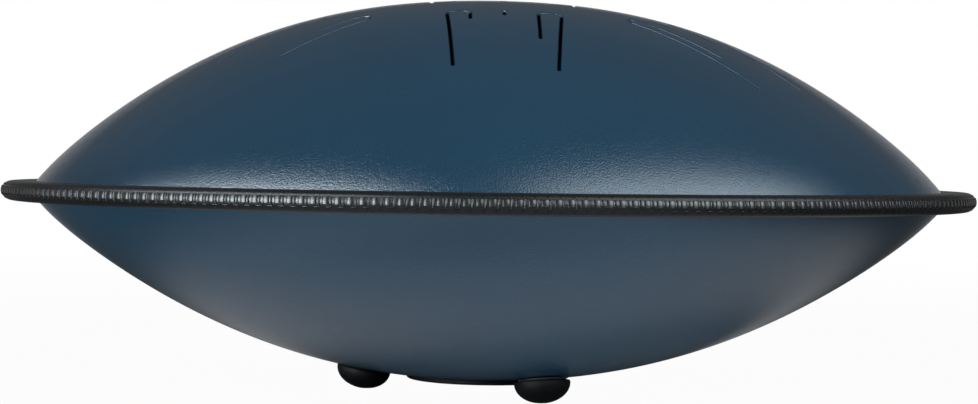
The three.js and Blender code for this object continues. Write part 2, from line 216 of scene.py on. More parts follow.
class DrumTongueSettings(bpy.types.PropertyGroup):
    """Sizes of the slots that free the tongues."""

    slot: length_prop("Slot", "Width of the cut", 0.0014)
    edge: length_prop("Edge", "Rounding along the cut", 0.0008)
    turn: angle_prop("Turn", "From the front to the first tongue", 0.5)
    offset: length_prop("Offset", "Axis of a tongue to the drum's middle", 0.0063)
    tip_radius: length_prop("Tip Radius", "Drum's middle to the nearest tip", 0.098)
    setback: length_prop("Setback", "Nearest tip to the farthest", 0.016)
    tip_half: length_prop("Half Width at Tip", "Axis to outer leg at the hook", 0.0309)
    root_half: length_prop("Half Width at Root", "Axis to the end of the leg", 0.0269)
    leg: length_prop("Leg", "Longest outer leg", 0.085)
    hook_width: length_prop("Hook Width", "Outer leg to inner leg", 0.0125)
    hook_leg: length_prop("Inner Leg", "Longest inner leg", 0.054)
    slit: length_prop("Slit", "Short cut on the axis", 0.011)
    centre_tip: length_prop("Middle Tip", "Drum's middle to the middle tongue's tip", 0.06)
    centre_half: length_prop("Middle Half Width", "Axis to outer leg of the middle tongue", 0.0405)
    centre_leg: length_prop("Middle Leg", "Longest leg of the middle tongue", 0.098)


class DrumTrimSettings(bpy.types.PropertyGroup):
    """Sizes of the embossed rim trim."""

    clearance: length_prop("Clearance", "Lip to the flank of a dome", 0.0006)
    channel_half: length_prop("Half Channel", "Seam to the inside of a lip", 0.0024)
    channel_radius: length_prop("Channel Radius", "Bottom of the channel", 0.2743)
    seam: length_prop("Seam", "Butt joint at the back", 0.0006)
    repeats: count_prop("Repeats", "Embossed units round the rim", 288, 8)
    relief: length_prop("Relief", "Height of the embossing", 0.00045)


class DrumRubberSettings(bpy.types.PropertyGroup):
    """Sizes of the sound hole's edging and of the feet."""

    clearance: length_prop("Clearance", "Between seated pieces", 0.0003)
    lip: length_prop("Lip", "Edging over and under the sheet", 0.0019)
    reach: length_prop("Reach", "Lips beyond the edge of the hole", 0.006)
    web: length_prop("Web", "Edging inside the hole", 0.0026)
    edge: length_prop("Edge", "Rounding of the edging", 0.0012)
    foot_count: count_prop("Feet", "Number of feet", 3, 3)
    foot_turn: angle_prop("Turn", "From the front to the first foot", 25.6)
    foot_circle: length_prop("Foot Circle", "Drum's middle to a foot", 0.072)
    foot_radius: length_prop("Foot Radius", "Of the domed foot", 0.0158)
    foot_base: length_prop("Foot Base", "Shell to the foot, over its pad", 0.0016)
    foot_skirt: length_prop("Skirt", "Straight wall above the dome", 0.001)
    foot_flat: length_prop("Flat", "Depth of the worn flat", 0.0004)


class DrumFinishSettings(bpy.types.PropertyGroup):
    """Colours and surface scales."""

    paint: colour_prop("Paint", "Colour of the shells", (0.0088, 0.037, 0.067))
    paint_grain: length_prop("Paint Grain", "Size of the coat's grain", 0.00095)
    trim: colour_prop("Trim", "Colour of the rim trim", (0.006, 0.006, 0.0062))
    rubber: colour_prop("Rubber", "Colour of feet and edging", (0.0009, 0.0009, 0.001))
    steel: colour_prop("Steel", "Colour of the trim's clip", (0.5, 0.51, 0.52))
    adhesive: colour_prop("Adhesive", "Colour of bond and pads", (0.006, 0.006, 0.0056))


class DrumStageSettings(bpy.types.PropertyGroup):
    """Camera and light."""

    distance: length_prop("Distance", "Camera to the drum's axis", 1.316)
    height: length_prop("Height", "Camera above the floor", 0.137)
    pitch: angle_prop("Pitch", "Camera's tilt below level", 1.149)
    yaw: angle_prop("Yaw", "Camera's turn to the left", -0.011)
    roll: angle_prop("Roll", "Camera's turn about its axis", 0.763)
    lens: number_prop("Lens", "Focal length in millimetres", 82.55, "CAMERA")
    left_power: number_prop("Left Softbox", "Power of the upper left lamp", 12.0, "POWER")
    right_power: number_prop("Right Softbox", "Power of the upper right lamp", 6.8, "POWER")
    rim_left_power: number_prop("Left Rim Card", "Power of the left card, for gloss only", 2.0, "POWER")
    rim_right_power: number_prop("Right Rim Card", "Power of the right card, for gloss only", 1.3, "POWER")
    fill_power: number_prop("Fill", "Power of the low front lamp", 25.0, "POWER")
    floor_left_power: number_prop("Left Light Table", "Power of the left lamp in the floor", 2.7, "POWER")
    floor_power: number_prop("Light Table", "Power of the front lamp in the floor", 0.58, "POWER")
    ambient: number_prop("Ambient", "Strength of the room's light", 0.1)


class DrumSettings(bpy.types.PropertyGroup):
    """All settings of the drum."""

    shell: group_prop("Shells", "The two pressed domes", DrumShellSettings)
    tongues: group_prop("Tongues", "The slots of the upper dome", DrumTongueSettings)
    trim: group_prop("Trim", "The profile round the rim", DrumTrimSettings)
    rubber: group_prop("Rubber", "The sound hole's edging and the feet", DrumRubberSettings)
    finish: group_prop("Finish", "Colours and surface scales", DrumFinishSettings)
    stage: group_prop("Stage", "Camera and light", DrumStageSettings)


class Dome:
    """A pressed dome: its height over the seam falls as a power of the radius, and faster at the edge."""

    def __init__(self, shell, rise, power, shoulder):
        self.radius = shell.radius
        self.rise = rise
        self.power = power
        self.shoulder = shoulder
        self.shoulder_power = shell.shoulder_power
        self.radii = np.linspace(self.radius, 0, DOME_SAMPLES)

    def height(self, radius):
        share = radius / self.radius
        flank = (1 - self.shoulder) * share ** self.power
        return self.rise * (1 - flank - self.shoulder * share ** self.shoulder_power)

    def slope(self, radius):
        share = radius / self.radius
        flank = (1 - self.shoulder) * self.power * share ** (self.power - 1)
        edge = self.shoulder * self.shoulder_power * share ** (self.shoulder_power - 1)
        return self.rise / self.radius * (flank + edge)

    def radius_at(self, height):
        return float(np.interp(height, self.height(self.radii), self.radii))

    def inside(self, radius, sheet):
        """Height of the inner face under a point of the outer one."""
        return self.height(radius) - sheet * np.hypot(1, self.slope(radius))

    def inside_radius_at(self, height, sheet):
        return float(np.interp(height, self.inside(self.radii, sheet), self.radii))


def upper_dome(shell):
    return Dome(shell, TOP_RISE, shell.top_power, shell.top_shoulder)


def lower_dome(shell):
    return Dome(shell, shell.bottom_rise, shell.bottom_power, shell.bottom_shoulder)


class Graph:
    """Adds nodes to a tree; inputs are plain values or sockets of other nodes."""

    def __init__(self, tree):
        self.tree = tree

    def node(self, kind, inputs=None, **settings):
        node = self.tree.nodes.new(kind)
        node.location = (NODE_SPACING * len(self.tree.nodes), 0)
        for name, value in settings.items():
            setattr(node, name, value)
        for name, value in (inputs or {}).items():
            if isinstance(value, bpy.types.NodeSocket):
                self.tree.links.new(value, node.inputs[name])
            else:
                node.inputs[name].default_value = value
        return node

    def math(self, operation, first, second=0.0):
        return self.node("ShaderNodeMath", {0: first, 1: second}, operation=operation).outputs[0]

    def remap(self, value, low, high, to_low=0.0, to_high=1.0, curve="LINEAR"):
        inputs = {"Value": value, "From Min": low, "From Max": high, "To Min": to_low, "To Max": to_high}
        return self.node("ShaderNodeMapRange", inputs, interpolation_type=curve).outputs["Result"]

    def blend(self, factor, first, second):
        """A colour between two, as the factor says."""
        inputs = {"Factor": factor, MIX_FIRST: first, MIX_SECOND: second}
        return self.node("ShaderNodeMix", inputs, data_type="RGBA").outputs[MIX_RESULT]

    def length(self, vector):
        return self.node("ShaderNodeVectorMath", {0: vector}, operation="LENGTH").outputs["Value"]


class Surface(Graph):
    """A material with one principled shader, and the patterns that drive it, in object coordinates."""

    def __init__(self, name, **constants):
        self.material = bpy.data.materials.new(name)
        self.material.use_nodes = True
        super().__init__(self.material.node_tree)
        self.shader = self.tree.nodes["Principled BSDF"]
        for socket, value in constants.items():
            self.shader.inputs[socket].default_value = value
        self.place = self.node("ShaderNodeTexCoord").outputs["Object"]

    def drive(self, socket, source):
        self.tree.links.new(source, self.shader.inputs[socket])

    def noise(self, size, detail=2.0, roughness=0.5):
        """Noise whose features are about the given size."""
        inputs = {"Vector": self.place, "Scale": 1 / size, "Detail": detail, "Roughness": roughness}
        return self.node("ShaderNodeTexNoise", inputs).outputs["Fac"]

    def spread(self, noise, low, high):
        """A noise stretched between two values."""
        return self.remap(noise, *NOISE_RANGE, low, high)

    def tinted(self, factor, colour, low, high):
        """The colour scaled between two levels by a factor."""
        return self.blend(factor, scaled(colour, low), scaled(colour, high))

    def bump(self, height, distance, strength=1.0, under=None):
        inputs = {"Height": height, "Distance": distance, "Strength": strength}
        if under:
            inputs["Normal"] = under
        return self.node("ShaderNodeBump", inputs).outputs["Normal"]


def scaled(colour, level=1.0):
    return (*(channel * level for channel in colour), 1.0)


def paint_material(finish):
    """Satin powder coat: fine grain over a faint orange peel, and soft clouds of shade."""
    surface = Surface("shell_paint", Metallic=0.0, IOR=1.7)
    grain = surface.noise(finish.paint_grain, detail=3.0, roughness=0.6)
    peel = surface.noise(PEEL_GRAINS * finish.paint_grain, detail=1.0)
    cloud = surface.noise(size=0.09, detail=3.0)
    fine = surface.math("MULTIPLY", grain, GRAIN_SHARE)
    broad = surface.math("MULTIPLY", cloud, 1 - GRAIN_SHARE)
    shade = surface.math("ADD", fine, broad)
    surface.drive("Base Color", surface.tinted(shade, finish.paint, low=0.7, high=1.3))
    surface.drive("Roughness", surface.spread(grain, low=0.06, high=0.11))
    under = surface.bump(peel, distance=0.0003, strength=0.02)
    surface.drive("Normal", surface.bump(grain, distance=0.00016, under=under))
    return surface.material


def trim_material(finish):
    """Soft embossed plastic with a fine leather grain, paler on rubbed pads and dull on their flanks."""
    surface = Surface("rim_trim", Metallic=0.0, IOR=1.4)
    grain = surface.noise(size=0.0006)
    cloud = surface.noise(size=0.02, detail=3.0)
    raised = surface.node("ShaderNodeAttribute", attribute_name="raised").outputs["Fac"]
    worn = surface.remap(cloud, low=0.35, high=0.65, to_low=0.5, to_high=1.0)
    rub = surface.math("MULTIPLY", raised, worn)
    surface.drive("Base Color", surface.tinted(rub, finish.trim, low=0.7, high=1.2))
    surface.drive("Roughness", surface.spread(grain, low=0.28, high=0.38))
    flat = surface.math("ABSOLUTE", surface.math("SUBTRACT", raised, FLANK_LEVEL))
    shine = surface.remap(flat, low=0.0, high=FLANK_LEVEL, to_low=0.1, to_high=0.5)
    surface.drive("Specular IOR Level", shine)
    surface.drive("Normal", surface.bump(grain, distance=0.00008, strength=0.5))
    return surface.material


def rubber_material(finish):
    """Moulded black rubber, matt, with faint dust."""
    surface = Surface("rubber", Metallic=0.0, IOR=1.24)
    grain = surface.noise(size=0.0009, detail=3.0)
    dust = surface.noise(size=0.006, detail=4.0, roughness=0.7)
    thick = surface.remap(dust, low=0.5, high=0.75)
    surface.drive("Base Color", surface.tinted(thick, finish.rubber, low=1.0, high=1.8))
    surface.drive("Roughness", surface.spread(dust, low=0.5, high=0.7))
    surface.drive("Normal", surface.bump(grain, distance=0.0001, strength=0.5))
    return surface.material


def steel_material(finish):
    """Rolled steel strip with drawn lines round the rim and a few dull patches."""
    surface = Surface("clip_steel", Metallic=1.0)
    stretched = surface.node("ShaderNodeMapping", {"Vector": surface.place, "Scale": (1.0, 1.0, 12.0)})
    surface.place = stretched.outputs["Vector"]
    lines = surface.noise(size=0.002, detail=4.0)
    patches = surface.noise(size=0.015)
    surface.drive("Base Color", surface.tinted(patches, finish.steel, low=0.8, high=1.1))
    surface.drive("Roughness", surface.spread(lines, low=0.3, high=0.5))
    surface.drive("Normal", surface.bump(lines, distance=0.00003, strength=0.4))
    return surface.material


def adhesive_material(finish):
    """Cured elastic adhesive, slightly lumpy."""
    surface = Surface("adhesive", Metallic=0.0, IOR=1.45)
    lumps = surface.noise(size=0.004, detail=3.0)
    surface.drive("Base Color", surface.tinted(lumps, finish.adhesive, low=0.8, high=1.2))
    surface.drive("Roughness", surface.spread(lumps, low=0.6, high=0.8))
    surface.drive("Normal", surface.bump(lumps, distance=0.0003, strength=0.5))
    return surface.material


def material(name):
    """The drum's material of that name, made when first asked for."""
    makers = {
        "shell_paint": paint_material,
        "rim_trim": trim_material,
        "rubber": rubber_material,
        "clip_steel": steel_material,
        "adhesive": adhesive_material,
    }
    full_name = f"drum_{name}"
    if full_name not in bpy.data.materials:
        makers[name](bpy.context.scene.drum.finish).name = full_name
    return bpy.data.materials[full_name]


def new_object(name, data):
    made = bpy.data.objects.new(name, data)
    bpy.context.scene.collection.objects.link(made)
    return made


def mesh_of(name, points, faces):
    mesh = bpy.data.meshes.new(name)
    mesh.from_pydata([tuple(point) for point in points], [], [tuple(face) for face in faces])
    mesh.validate()
    return mesh


def solid_of(name, points, faces):
    """A closed mesh with its faces turned outwards."""
    mesh = mesh_of(name, points, faces)
    triangles = np.array([triangle.vertices for triangle in mesh.loop_triangles])
    corners = np.array([vertex.co for vertex in mesh.vertices])[triangles]
    if np.einsum("ij,ij->", corners[:, 0], np.cross(corners[:, 1], corners[:, 2])) < 0:
        mesh.flip_normals()
    return mesh


def soften(mesh):
    """Smooth shading, with the corners kept sharp."""
    mesh.shade_smooth()
    mesh.set_sharp_from_angle(angle=SHARP_ANGLE)


def dress(mesh, slot):
    """Gives a mesh its one material."""
    mesh.materials.clear()
    mesh.materials.append(material(slot))


def install(node, mesh, slot):
    """Puts a finished mesh on the drum in place of its CAD node."""
    dress(mesh, slot)
    piece = new_object(f"{node}_skin", mesh)
    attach(piece, "root")
    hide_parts(node)


def circle(steps):
    """Points evenly round a circle of radius 1."""
    turns = 2 * np.pi * np.arange(steps) / steps
    return np.column_stack([np.cos(turns), np.sin(turns)])


def spun(profile, steps, start, end=None):
    """Points and faces of an open profile of (radius, height) points turned about +Z.

    The start, and the end where one is given, are heights on the axis that close it.
    """
    poles = [(0, 0, height) for height in (start, end) if height is not None]
    rows = len(profile)
    points, faces = list(poles), []
    for step, (across, along) in enumerate(circle(steps)):
        points += [(radius * across, radius * along, height) for radius, height in profile]
        here = len(poles) + step * rows
        there = len(poles) + (step + 1) % steps * rows
        faces.append((0, there, here))
        faces += [(here + row, there + row, there + row + 1, here + row + 1) for row in range(rows - 1)]
        if end is not None:
            faces.append((here + rows - 1, there + rows - 1, 1))
    return points, faces


def revolve(profile, steps, opening=0.0):
    """Points and faces of a closed profile of (radius, height) points turned about +Z.

    A whole ring has no opening; otherwise two flat ends face each other across an opening at the back.
    """
    stations = steps + 1 if opening else steps
    sweep = 2 * math.pi - opening
    turns = math.pi / 2 + opening / 2 + sweep * np.arange(stations) / steps
    radii, heights = np.array(profile).T
    grid = np.empty((stations, len(profile), 3))
    grid[..., 0] = np.outer(np.cos(turns), radii)
    grid[..., 1] = np.outer(np.sin(turns), radii)
    grid[..., 2] = heights
    width = len(profile)
    faces = []
    for station in range(steps):
        here = station * width
        there = (station + 1) % stations * width
        for point in range(width):
            following = (point + 1) % width
            faces.append((here + point, there + point, there + following, here + following))
    if opening:
        faces.append(tuple(range(width)))
        faces.append(tuple(reversed(range(steps * width, stations * width))))
    return grid.reshape(-1, 3), faces


def normalised(vectors):
    return vectors / np.linalg.norm(vectors, axis=1, keepdims=True)


def resampled(line, spacing):
    """The line with points added, so that no step is longer than the spacing."""
    points = [line[0]]
    for start, end in zip(line, line[1:]):
        steps = max(1, math.ceil(np.linalg.norm(end - start) / spacing))
        points += [start + (end - start) * step / steps for step in range(1, steps + 1)]
    return np.array(points)


def hook_line(tongues, size, side, leg_share, hook_share):
    """Centre line of a hooked slot in the tongue's own plan: outer leg, round hook, inner leg."""
    radius = tongues.hook_width / 2
    turns = np.pi * np.arange(HOOK_STEPS + 1) / HOOK_STEPS
    tip, tip_half, root_half, leg = size
    across = tip_half - radius + radius * np.cos(turns)
    along = tip + radius - radius * np.sin(turns)
    line = [(root_half, tip + leg_share * leg), *zip(across, along)]
    line.append((tip_half - tongues.hook_width, tip + hook_share * tongues.hook_leg))
    return np.array([(side * x, -y) for x, y in line])


def tongue_lines(tongues, size, legs, hooks, offset, turn):
    """Centre lines of a tongue's two hooked slots and its slit, in the drum's plan."""
    tip = size[0]
    lines = [hook_line(tongues, size, side, leg, hook) for side, leg, hook in zip((-1, 1), legs, hooks)]
    lines.append(np.array([(0, -tip), (0, -tip - tongues.slit)]))
    cosine, sine = math.cos(turn), math.sin(turn)
    rotation = np.array([(cosine, sine), (-sine, cosine)])
    return [(resampled(line, LEG_STEP) + (offset, 0)) @ rotation for line in lines]


def slot_lines(tongues):
    """Centre lines of all slots with the widths of their dressed edges.

    The middle tongue points backwards on the axis of the front one.
    """
    lines, edges = [], []
    for index, (setback, width, legs, hooks, edge) in enumerate(TONGUES):
        tip = tongues.tip_radius + setback * tongues.setback
        size = (tip, width * tongues.tip_half, width * tongues.root_half, tongues.leg)
        turn = tongues.turn + 2 * math.pi * index / len(TONGUES)
        cuts = tongue_lines(tongues, size, legs, hooks, tongues.offset, turn)
        lines += cuts
        edges += [edge * tongues.edge] * len(cuts)
    size = (-tongues.centre_tip, tongues.centre_half, tongues.centre_half, tongues.centre_leg)
    turn = tongues.turn + math.pi
    cuts = tongue_lines(tongues, size, CENTRE_LEGS, CENTRE_HOOKS, -tongues.offset, turn)
    return lines + cuts, edges + [tongues.edge] * len(cuts)


def slot_outline(line):
    """Base points on a slot's line and the directions away from it, once round the slot."""
    steps = normalised(np.diff(line, axis=0))
    along = normalised(np.vstack([steps[:1], steps[:-1] + steps[1:], steps[-1:]]))
    across = np.column_stack([-along[:, 1], along[:, 0]])
    turns = np.pi * np.arange(1, CAP_STEPS)[:, None] / CAP_STEPS
    end_cap = np.sin(turns) * along[-1] - np.cos(turns) * across[-1]
    start_cap = np.cos(turns) * across[0] - np.sin(turns) * along[0]
    caps = CAP_STEPS - 1
    bases = np.vstack([line, np.repeat(line[-1:], caps, 0), line[::-1], np.repeat(line[:1], caps, 0)])
    away = np.vstack([-across, end_cap, across[::-1], start_cap])
    return bases, away


def disc_with_slots(radius, outlines):
    """Points in plan over a disc and triangles that leave the outlines open.

    Returns the points, the triangles, and as indices the points of the disc's edge and of each outline.
    """
    edge = radius * circle(EDGE_STEPS)
    rings = round(radius / FILL_STEP)
    fill = [np.zeros((1, 2))]
    fill += [radius * ring / rings * circle(round(2 * math.pi * ring)) for ring in range(1, rings)]
    fill = np.vstack(fill)
    cuts = np.vstack(outlines)
    nearest = np.min(np.linalg.norm(fill[:, None] - cuts[None], axis=2), axis=1)
    fill = fill[nearest > FILL_STEP / 2]
    starts = np.cumsum([EDGE_STEPS] + [len(outline) for outline in outlines])
    loops = [list(range(start, start + len(outline))) for start, outline in zip(starts, outlines)]
    rim = [(step, (step + 1) % EDGE_STEPS) for step in range(EDGE_STEPS)]
    given = [Vector(point) for point in np.vstack([edge, cuts, fill])]
    points, _, triangles, sources, _, covers = delaunay_2d_cdt(
        given, rim, loops, WHOLE_HULL, CUT_TOLERANCE, True
    )
    place = {old: new for new, olds in enumerate(sources) for old in olds}
    kept = [triangle for triangle, cover in zip(triangles, covers) if not cover]
    return (
        np.array(points),
        np.array(kept),
        np.array([place[step] for step in range(EDGE_STEPS)]),
        [np.array([place[index] for index in loop]) for loop in loops],
    )


class MeshParts:
    """Collects points with their normals, and faces."""

    def __init__(self):
        self.points = []
        self.normals = []
        self.faces = []

    def add_points(self, points, normals):
        start = len(self.points)
        self.points += [tuple(point) for point in points]
        self.normals += [tuple(normal) for normal in normals]
        return start + np.arange(len(points))

    def add_faces(self, faces):
        self.faces += [tuple(int(index) for index in face) for face in faces]

    def add_strip(self, first, second):
        """Quads between two closed rows of points.

        Seen from outside and with the first row below, both rows run to the right.
        """
        self.add_faces(np.column_stack([first, np.roll(first, -1), np.roll(second, -1), second]))

    def mesh(self, name):
        made = bpy.data.meshes.new(name)
        made.from_pydata(self.points, [], self.faces)
        made.shade_smooth()
        made.normals_split_custom_set_from_vertices(self.normals)
        return made


def lifted(plan, heights):
    return np.column_stack([plan, np.broadcast_to(heights, len(plan))])


def top_shell_mesh(shell, tongues):
    """The upper dome with its tongue slots and its flange; all cut edges are a little rounded."""
    dome = upper_dome(shell)
    flange_top = FLANGE_BACK + shell.sheet
    lines, edges = slot_lines(tongues)
    outlines = [slot_outline(line) for line in lines]
    cuts = [bases + tongues.slot / 2 * away for bases, away in outlines]
    mouths = [cut + edge * away for edge, cut, (_, away) in zip(edges, cuts, outlines)]
    backs = [cut + BACK_EDGE * away for cut, (_, away) in zip(cuts, outlines)]
    parts = MeshParts()

    def inside_height(radii):
        return dome.inside(radii, shell.sheet)

    def surface(radius, loops, height_at, facing):
        plan, triangles, border, rings = disc_with_slots(radius, loops)
        radii = np.linalg.norm(plan, axis=1)
        slopes = np.divide(dome.slope(radii), radii, out=np.zeros_like(radii), where=radii > 0)
        normals = normalised(facing * lifted(plan * slopes[:, None], 1))
        ids = parts.add_points(lifted(plan, RIM_HEIGHT + height_at(radii)), normals)
        parts.add_faces(ids[triangles if facing > 0 else triangles[:, ::-1]])
        return ids[border], [ids[ring] for ring in rings]

    fold_out = dome.radius_at(flange_top + BACK_EDGE)
    fold_in = dome.inside_radius_at(FLANGE_BACK + BACK_EDGE, shell.sheet)
    out_border, out_rings = surface(fold_out, mouths, dome.height, 1)
    in_border, in_rings = surface(fold_in, backs, inside_height, -1)
    for (_, away), edge, cut, out_ring, in_ring in zip(outlines, edges, cuts, out_rings, in_rings):
        radii = np.linalg.norm(cut, axis=1)
        facing = lifted(-away, 0)
        depth = min(edge, tongues.edge)
        upper_wall = parts.add_points(lifted(cut, RIM_HEIGHT + dome.height(radii) - depth), facing)
        lower_wall = parts.add_points(lifted(cut, RIM_HEIGHT + inside_height(radii) + BACK_EDGE), facing)
        parts.add_strip(out_ring, upper_wall)
        parts.add_strip(upper_wall, lower_wall)
        parts.add_strip(lower_wall, in_ring)
    rim_plan = circle(EDGE_STEPS)
    flange_rows = (
        (fold_out + BACK_EDGE, flange_top, 0, 1),
        (FLANGE_RADIUS - BACK_EDGE, flange_top, 0, 1),
        (FLANGE_RADIUS, flange_top - BACK_EDGE, 1, 0),
        (FLANGE_RADIUS, FLANGE_BACK + BACK_EDGE, 1, 0),
        (FLANGE_RADIUS - BACK_EDGE, FLANGE_BACK, 0, -1),
        (fold_in + BACK_EDGE, FLANGE_BACK, 0, -1),
    )
    rows = [out_border]
    for radius, height, outwards, upwards in flange_rows:
        ring = lifted(radius * rim_plan, RIM_HEIGHT + height)
        rows.append(parts.add_points(ring, lifted(outwards * rim_plan, upwards)))
    rows.append(in_border)
    for upper, lower in zip(rows, rows[1:]):
        parts.add_strip(lower, upper)
    return parts.mesh("top_shell_skin")


def geometry_tree(name):
    """A geometry node tree with a mesh in and out."""
    tree = bpy.data.node_groups.new(name, "GeometryNodeTree")
    for way in ("INPUT", "OUTPUT"):
        tree.interface.new_socket("Geometry", in_out=way, socket_type="NodeSocketGeometry")
    return tree


def joined(graph, *parts):
    """One geometry from several."""
    join = graph.node("GeometryNodeJoinGeometry")
    for part in parts:
        graph.tree.links.new(part, join.inputs[0])
    return join.outputs[0]


def merged(graph, geometry):
    """The geometry with points at one place made one."""
    inputs = {"Geometry": geometry, "Distance": MERGE_DISTANCE}
    return graph.node("GeometryNodeMergeByDistance", inputs).outputs[0]


def grown(start, tree):
    """The mesh that a node tree makes of a starting mesh."""
    carrier = new_object(tree.name, start)
    carrier.modifiers.new(tree.name, "NODES").node_group = tree
    evaluated = carrier.evaluated_get(bpy.context.evaluated_depsgraph_get())
    result = bpy.data.meshes.new_from_object(evaluated)
    bpy.data.objects.remove(carrier)
    bpy.data.meshes.remove(start)
    return result


def bowl_tree(shell):
    """Node tree of the lower dome with its flange and sound hole, from the rule of the dome's height."""
    dome = lower_dome(shell)
    flange_height = FLANGE_BACK + shell.sheet
    dome_end = dome.radius_at(flange_height)
    crease = (BOWL_RINGS - FLANGE_RINGS) / BOWL_RINGS
    tree = geometry_tree("drum_bowl")
    graph = Graph(tree)
    sides = {"Size X": 1.0, "Size Y": 1.0, "Vertices X": BOWL_SEGMENTS + 1, "Vertices Y": BOWL_RINGS + 1}
    grid = graph.node("GeometryNodeMeshGrid", sides)
    place = graph.node("ShaderNodeSeparateXYZ", {0: graph.node("GeometryNodeInputPosition").outputs[0]})
    # The grid lies round its middle, so half a side makes its shares start at 0
    turn = graph.math("MULTIPLY", graph.math("ADD", place.outputs["X"], 0.5), 2 * math.pi)
    share = graph.math("ADD", place.outputs["Y"], 0.5)
    dome_part = graph.remap(share, 0.0, crease, shell.hole_radius, dome_end)
    flange_part = graph.remap(share, crease, 1.0, 0.0, FLANGE_RADIUS - dome_end)
    radius = graph.math("ADD", dome_part, flange_part)
    outness = graph.math("DIVIDE", radius, dome.radius)
    flank = graph.math("MULTIPLY", 1 - dome.shoulder, graph.math("POWER", outness, dome.power))
    edge = graph.math("MULTIPLY", dome.shoulder, graph.math("POWER", outness, dome.shoulder_power))
    fall = graph.math("ADD", flank, edge)
    height = graph.math("MULTIPLY", dome.rise, graph.math("SUBTRACT", 1.0, fall))
    depth = graph.math("MAXIMUM", height, flange_height)
    position = graph.node("ShaderNodeCombineXYZ", {
        "X": graph.math("MULTIPLY", radius, graph.math("COSINE", turn)),
        "Y": graph.math("MULTIPLY", radius, graph.math("SINE", turn)),
        "Z": graph.math("SUBTRACT", RIM_HEIGHT, depth),
    })
    placed = graph.node("GeometryNodeSetPosition", {
        "Geometry": grid.outputs["Mesh"],
        "Position": position.outputs[0],
    })
    outer = merged(graph, placed.outputs[0])
    inwards = {"Mesh": outer, "Offset Scale": -shell.sheet, "Individual": False}
    walls = graph.node("GeometryNodeExtrudeMesh", inwards, mode="FACES")
    inner = graph.node("GeometryNodeFlipFaces", {"Mesh": walls.outputs["Mesh"]}).outputs[0]
    graph.node("NodeGroupOutput", {"Geometry": merged(graph, joined(graph, outer, inner))})
    return tree


def trim_profile(shell, trim):
    """Section of the trim under its embossing, closed, as (radius, height) points."""
    face = TRIM_HALF - trim.relief
    centre = TRIM_RADIUS - TRIM_HALF
    upper, lower = upper_dome(shell), lower_dome(shell)
    turns = np.pi * (0.5 - np.arange(TRIM_ARC_STEPS + 1) / TRIM_ARC_STEPS)
    arc = [(centre + face * math.cos(turn), face * math.sin(turn)) for turn in turns]
    points = [
        (trim.channel_radius, trim.channel_half),
        (upper.radius_at(trim.channel_half) + trim.clearance, trim.channel_half),
        (upper.radius_at(face) + trim.clearance, face),
        *arc,
        (lower.radius_at(face) + trim.clearance, -face),
        (lower.radius_at(trim.channel_half) + trim.clearance, -trim.channel_half),
        (trim.channel_radius, -trim.channel_half),
    ]
    return [(radius, RIM_HEIGHT + height) for radius, height in points]


def emboss_block(trim, start, end, low, high, rows, share):
    """A raised block on the trim's round face, closed, sunk a little into it.

    Start and end are metres along the rim, low and high angles up the round face, share the
    part of the full relief that it rises.
    """
    face = TRIM_HALF - trim.relief
    centre = TRIM_RADIUS - TRIM_HALF
    relief = share * trim.relief
    bevel = relief * BLOCK_BEVEL
    bevel_turn = bevel / TRIM_HALF
    inset = min(BLOCK_INSET * (end - start), BLOCK_ROUND)
    shoulder = relief - bevel
    sunk = -trim.relief * BLOCK_SUNK
    middles = np.linspace(low + bevel_turn, high - bevel_turn, rows)
    stations = [(low, shoulder), *((turn, relief) for turn in middles), (high, shoulder)]
    points, raised = [], []
    for turn, top in stations:
        half = ((start, sunk), (start, shoulder), (start + inset, top))
        section = (*half, *((start + end - along, height) for along, height in reversed(half)))
        for along, height in section:
            radius = centre + (face + height) * math.cos(turn)
            angle = along / TRIM_RADIUS
            points.append((
                radius * math.cos(angle),
                radius * math.sin(angle),
                RIM_HEIGHT + (face + height) * math.sin(turn),
            ))
            raised.append(share * (height == relief))
    width = len(section)
    faces = [tuple(reversed(range(width)))]
    for station in range(len(stations) - 1):
        here, there = station * width, (station + 1) * width
        for point in range(width):
            following = (point + 1) % width
            faces.append((here + point, here + following, there + following, there + point))
    faces.append(tuple(range((len(stations) - 1) * width, len(stations) * width)))
    return points, faces, raised


def emboss_unit(trim):
    """One repeat of the embossing, marked where it is raised."""
    pitch = 2 * math.pi * TRIM_RADIUS / trim.repeats
    points, faces, raised = [], [], []
    for start, end, low, high, rows, share in BLOCKS:
        more_points, more_faces, more_raised = emboss_block(
            trim, start * pitch, end * pitch, math.radians(low), math.radians(high), rows, share
        )
        faces += [tuple(len(points) + index for index in face) for face in more_faces]
        points += more_points
        raised += more_raised
    mesh = solid_of("emboss_unit", points, faces)
    mark = mesh.attributes.new("raised", "FLOAT", "POINT")
    mark.data.foreach_set("value", raised)
    return mesh


def trim_tree(trim, unit):
    """Node tree that sets an embossed unit at even turns round the rim on the plain trim."""
    tree = geometry_tree("drum_trim_embossing")
    graph = Graph(tree)
    plain = graph.node("NodeGroupInput").outputs["Geometry"]
    points = graph.node("GeometryNodePoints", {"Count": trim.repeats})
    # Half a pitch puts the butt joint between two units
    index = graph.math("ADD", graph.node("GeometryNodeInputIndex").outputs[0], 0.5)
    turn = graph.math("MULTIPLY", index, 2 * math.pi / trim.repeats)
    units = graph.node("GeometryNodeInstanceOnPoints", {
        "Points": points.outputs[0],
        "Instance": graph.node("GeometryNodeObjectInfo", {"Object": unit}).outputs["Geometry"],
        "Rotation": graph.node("ShaderNodeCombineXYZ", {"Z": turn}).outputs[0],
    })
    both = joined(graph, plain, units.outputs[0])
    whole = graph.node("GeometryNodeRealizeInstances", {"Geometry": both})
    graph.node("NodeGroupOutput", {"Geometry": whole.outputs[0]})
    return tree


